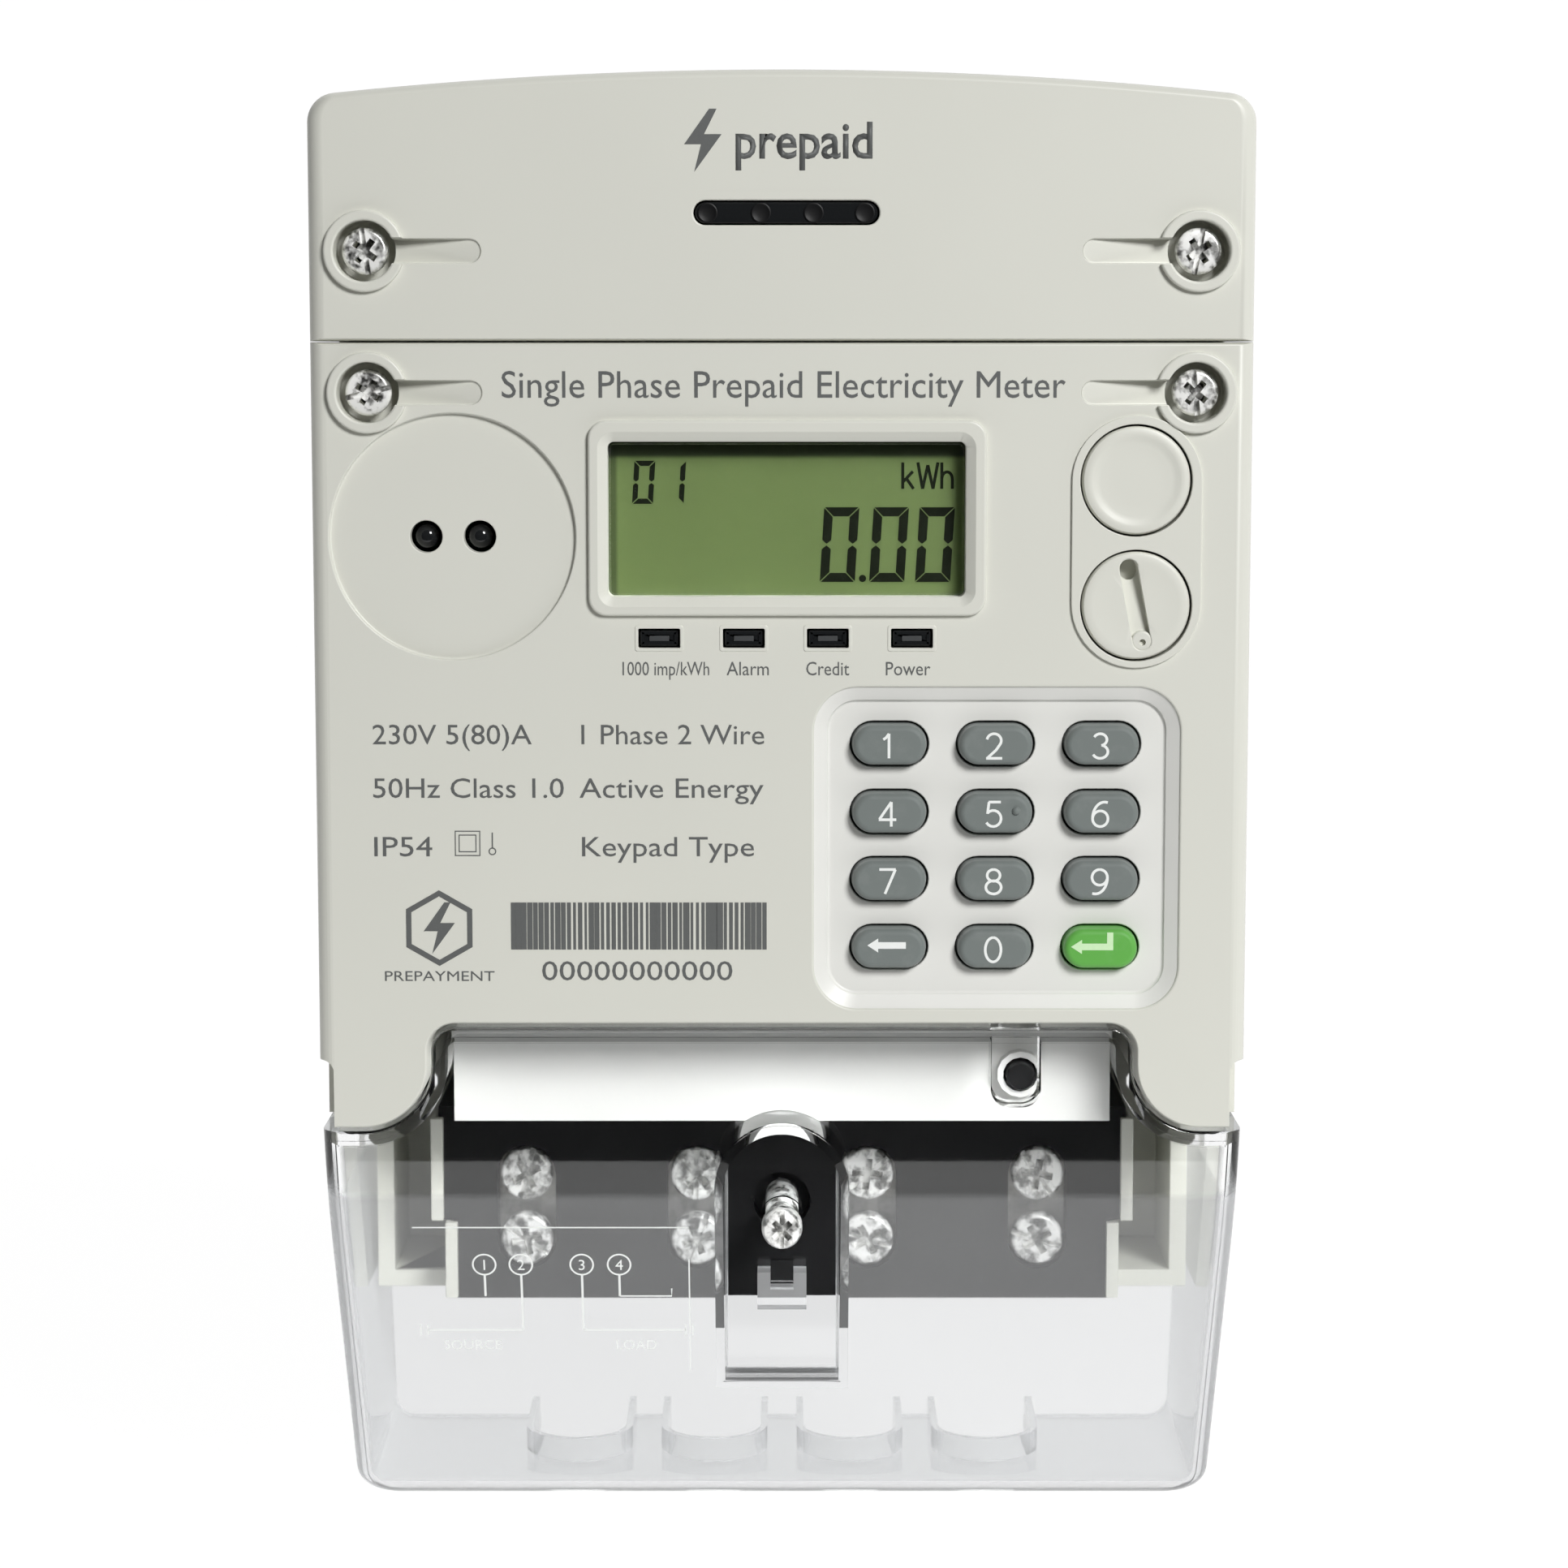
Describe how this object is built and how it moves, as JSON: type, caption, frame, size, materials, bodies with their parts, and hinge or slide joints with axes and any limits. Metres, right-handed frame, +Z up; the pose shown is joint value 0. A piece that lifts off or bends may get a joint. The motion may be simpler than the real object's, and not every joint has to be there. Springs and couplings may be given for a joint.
{
  "type": "prepaid electricity meter",
  "caption": "Wall-mounted single-phase prepaid electricity meter with a keypad, a display, and a clear cover over its screw terminals.",
  "frame": {"origin": "on the flat back face, on the centre line at mid-height", "axes": "+X to the right seen from the front, +Y from the front to the wall, +Z up"},
  "size_m": [0.128, 0.0609, 0.2037],
  "materials": {
    "case_plastic": "fine satin moulded plastic, warm light grey",
    "white_plastic": "satin white",
    "clear_plastic": "clear polycarbonate",
    "black_plastic": "satin black",
    "smoked_plastic": "smoked, glossy",
    "key_rubber": "matt grey silicone",
    "enter_rubber": "matt green silicone",
    "lcd": "olive green liquid crystal display",
    "circuit_board": "green solder resist",
    "zinc_steel": "bright zinc plate",
    "tinned_brass": "tin plated",
    "copper": "bare copper"
  },
  "bodies": {
    "case": {"base_case": "case_plastic", "front_cover": "case_plastic", "terminal_shroud": "white_plastic", "lcd_window": "clear_plastic", "lcd_glass": "lcd", "lcd_backlight": "white_plastic", "main_board": "circuit_board", "keypad_mat": "key_rubber", "display_switch": "black_plastic", "service_switch": "black_plastic", "pulse_lens": "smoked_plastic", "alarm_lens": "smoked_plastic", "credit_lens": "smoked_plastic", "power_lens": "smoked_plastic", "ir_emitter": "black_plastic", "ir_receiver": "black_plastic", "terminal_block": "black_plastic", "terminal_1": "tinned_brass", "terminal_2": "tinned_brass", "terminal_3": "tinned_brass", "terminal_4": "tinned_brass", "latching_relay": "black_plastic", "current_shunt": "copper", "power_transformer": "copper", "backup_battery": "zinc_steel", "module_board": "circuit_board"},
    "module_cover": {"module_cover": "case_plastic", "module_led_window": "smoked_plastic"},
    "terminal_cover": {"terminal_cover": "clear_plastic"},
    "hanging_hook": {"hanging_hook": "case_plastic"},
    "display_button": {"display_button": "case_plastic"},
    "service_stem": {"service_stem": "case_plastic"},
    "service_cap": {"service_cap": "case_plastic"},
    "cover_switch_button": {"cover_switch_button": "black_plastic"},
    "key_1": {"key_1": "key_rubber"},
    "key_2": {"key_2": "key_rubber"},
    "key_3": {"key_3": "key_rubber"},
    "key_4": {"key_4": "key_rubber"},
    "key_5": {"key_5": "key_rubber"},
    "key_6": {"key_6": "key_rubber"},
    "key_7": {"key_7": "key_rubber"},
    "key_8": {"key_8": "key_rubber"},
    "key_9": {"key_9": "key_rubber"},
    "key_back": {"key_back": "key_rubber"},
    "key_0": {"key_0": "key_rubber"},
    "key_enter": {"key_enter": "enter_rubber"},
    "module_screw_left": {"module_screw_left": "zinc_steel"},
    "module_screw_right": {"module_screw_right": "zinc_steel"},
    "cover_screw_left": {"cover_screw_left": "zinc_steel"},
    "cover_screw_right": {"cover_screw_right": "zinc_steel"},
    "terminal_cover_screw": {"terminal_cover_screw": "zinc_steel"},
    "terminal_screw_1_upper": {"terminal_screw_1_upper": "zinc_steel"},
    "terminal_screw_1_lower": {"terminal_screw_1_lower": "zinc_steel"},
    "terminal_screw_2_upper": {"terminal_screw_2_upper": "zinc_steel"},
    "terminal_screw_2_lower": {"terminal_screw_2_lower": "zinc_steel"},
    "terminal_screw_3_upper": {"terminal_screw_3_upper": "zinc_steel"},
    "terminal_screw_3_lower": {"terminal_screw_3_lower": "zinc_steel"},
    "terminal_screw_4_upper": {"terminal_screw_4_upper": "zinc_steel"},
    "terminal_screw_4_lower": {"terminal_screw_4_lower": "zinc_steel"}
  },
  "joints": [
    {"name": "key_1_press", "type": "slide", "parent": "case", "child": "key_1", "axis": [0, 1, 0], "range_m": [0, 0.0012], "stiffness_N_per_m": 500},
    {"name": "key_2_press", "type": "slide", "parent": "case", "child": "key_2", "axis": [0, 1, 0], "range_m": [0, 0.0012], "stiffness_N_per_m": 500},
    {"name": "key_3_press", "type": "slide", "parent": "case", "child": "key_3", "axis": [0, 1, 0], "range_m": [0, 0.0012], "stiffness_N_per_m": 500},
    {"name": "key_4_press", "type": "slide", "parent": "case", "child": "key_4", "axis": [0, 1, 0], "range_m": [0, 0.0012], "stiffness_N_per_m": 500},
    {"name": "key_5_press", "type": "slide", "parent": "case", "child": "key_5", "axis": [0, 1, 0], "range_m": [0, 0.0012], "stiffness_N_per_m": 500},
    {"name": "key_6_press", "type": "slide", "parent": "case", "child": "key_6", "axis": [0, 1, 0], "range_m": [0, 0.0012], "stiffness_N_per_m": 500},
    {"name": "key_7_press", "type": "slide", "parent": "case", "child": "key_7", "axis": [0, 1, 0], "range_m": [0, 0.0012], "stiffness_N_per_m": 500},
    {"name": "key_8_press", "type": "slide", "parent": "case", "child": "key_8", "axis": [0, 1, 0], "range_m": [0, 0.0012], "stiffness_N_per_m": 500},
    {"name": "key_9_press", "type": "slide", "parent": "case", "child": "key_9", "axis": [0, 1, 0], "range_m": [0, 0.0012], "stiffness_N_per_m": 500},
    {"name": "key_back_press", "type": "slide", "parent": "case", "child": "key_back", "axis": [0, 1, 0], "range_m": [0, 0.0012], "stiffness_N_per_m": 500},
    {"name": "key_0_press", "type": "slide", "parent": "case", "child": "key_0", "axis": [0, 1, 0], "range_m": [0, 0.0012], "stiffness_N_per_m": 500},
    {"name": "key_enter_press", "type": "slide", "parent": "case", "child": "key_enter", "axis": [0, 1, 0], "range_m": [0, 0.0012], "stiffness_N_per_m": 500},
    {"name": "display_button_press", "type": "slide", "parent": "case", "child": "display_button", "axis": [0, 1, 0], "range_m": [0, 0.0015], "stiffness_N_per_m": 400},
    {"name": "service_press", "type": "slide", "parent": "case", "child": "service_stem", "axis": [0, 1, 0], "range_m": [0, 0.0015], "stiffness_N_per_m": 400},
    {"name": "service_cap_turn", "type": "hinge", "parent": "service_stem", "child": "service_cap", "pos_m": [0.0482, -0.059, 0.02977], "axis": [0, 1, 0], "range_deg": [0, 90]},
    {"name": "cover_switch_press", "type": "slide", "parent": "case", "child": "cover_switch_button", "axis": [0, 1, 0], "range_m": [0, 0.0014], "stiffness_N_per_m": 300},
    {"name": "terminal_cover_off", "type": "slide", "parent": "case", "child": "terminal_cover", "axis": [0, -1, 0], "range_m": [0, 0.07]},
    {"name": "module_cover_off", "type": "slide", "parent": "case", "child": "module_cover", "axis": [0, -1, 0], "range_m": [0, 0.045]},
    {"name": "hook_slide", "type": "slide", "parent": "case", "child": "hanging_hook", "axis": [0, 0, 1], "range_m": [0, 0.012]},
    {"name": "module_screw_left_turn", "type": "hinge", "parent": "module_cover", "child": "module_screw_left", "pos_m": [-0.0563, -0.05, 0.0776], "axis": [0, 1, 0], "continuous": true},
    {"name": "module_screw_right_turn", "type": "hinge", "parent": "module_cover", "child": "module_screw_right", "pos_m": [0.0563, -0.05, 0.0776], "axis": [0, 1, 0], "continuous": true},
    {"name": "cover_screw_left_turn", "type": "hinge", "parent": "case", "child": "cover_screw_left", "pos_m": [-0.0561, -0.05, 0.0586], "axis": [0, 1, 0], "continuous": true},
    {"name": "cover_screw_right_turn", "type": "hinge", "parent": "case", "child": "cover_screw_right", "pos_m": [0.0561, -0.05, 0.0586], "axis": [0, 1, 0], "continuous": true},
    {"name": "terminal_cover_screw_turn", "type": "hinge", "parent": "terminal_cover", "child": "terminal_cover_screw", "pos_m": [0, -0.05, -0.0595], "axis": [0, 1, 0], "continuous": true},
    {"name": "terminal_screw_1_upper_turn", "type": "hinge", "parent": "case", "child": "terminal_screw_1_upper", "pos_m": [-0.0374, -0.028, -0.0556], "axis": [0, 1, 0], "continuous": true},
    {"name": "terminal_screw_1_lower_turn", "type": "hinge", "parent": "case", "child": "terminal_screw_1_lower", "pos_m": [-0.0374, -0.028, -0.0651], "axis": [0, 1, 0], "continuous": true},
    {"name": "terminal_screw_2_upper_turn", "type": "hinge", "parent": "case", "child": "terminal_screw_2_upper", "pos_m": [-0.0125, -0.028, -0.0556], "axis": [0, 1, 0], "continuous": true},
    {"name": "terminal_screw_2_lower_turn", "type": "hinge", "parent": "case", "child": "terminal_screw_2_lower", "pos_m": [-0.0125, -0.028, -0.0651], "axis": [0, 1, 0], "continuous": true},
    {"name": "terminal_screw_3_upper_turn", "type": "hinge", "parent": "case", "child": "terminal_screw_3_upper", "pos_m": [0.0125, -0.028, -0.0556], "axis": [0, 1, 0], "continuous": true},
    {"name": "terminal_screw_3_lower_turn", "type": "hinge", "parent": "case", "child": "terminal_screw_3_lower", "pos_m": [0.0125, -0.028, -0.0651], "axis": [0, 1, 0], "continuous": true},
    {"name": "terminal_screw_4_upper_turn", "type": "hinge", "parent": "case", "child": "terminal_screw_4_upper", "pos_m": [0.0374, -0.028, -0.0556], "axis": [0, 1, 0], "continuous": true},
    {"name": "terminal_screw_4_lower_turn", "type": "hinge", "parent": "case", "child": "terminal_screw_4_lower", "pos_m": [0.0374, -0.028, -0.0651], "axis": [0, 1, 0], "continuous": true}
  ]
}
